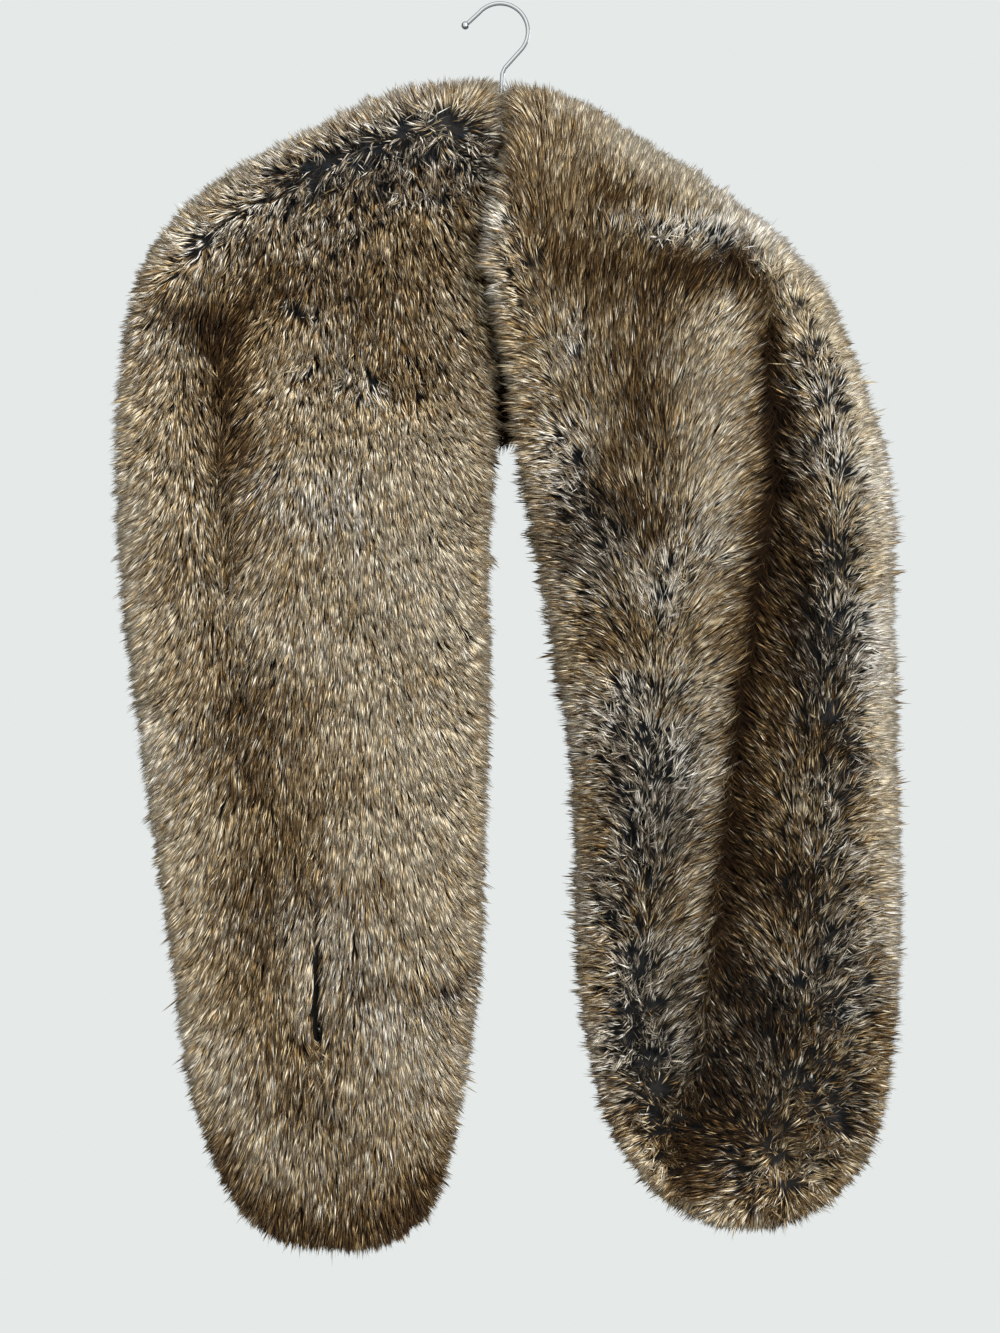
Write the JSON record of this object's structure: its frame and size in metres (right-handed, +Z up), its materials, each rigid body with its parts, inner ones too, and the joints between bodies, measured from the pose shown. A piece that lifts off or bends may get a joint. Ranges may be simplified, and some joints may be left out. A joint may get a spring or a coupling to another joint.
{
  "type": "fur collar wrap on a hanger",
  "caption": "Long brown fur wrap with round ends and a pull-through slit, draped over the arms of a plain hanger with a wire hook.",
  "frame": {"origin": "the inner top of the hanger's hook, where a rail or a peg carries it", "axes": "+Z up, the front faces -Y, +X to the right seen from the front"},
  "size_m": [0.5199, 0.1025, 0.84],
  "materials": {
    "left_fur": "dense brown pile with dark roots, cream middles and dark tips",
    "right_fur": "dense brown pile with dark roots, cream middles and dark tips",
    "back_fur": "dense brown pile with dark roots, cream middles and dark tips",
    "hanger_body": "plain matte",
    "bright_wire": "bright plated wire"
  },
  "bodies": {
    "root": {"left_front": "left_fur", "right_front": "right_fur", "neck_back": "back_fur", "hanger_arms": "hanger_body", "hanger_hook": "bright_wire"}
  },
  "joints": []
}
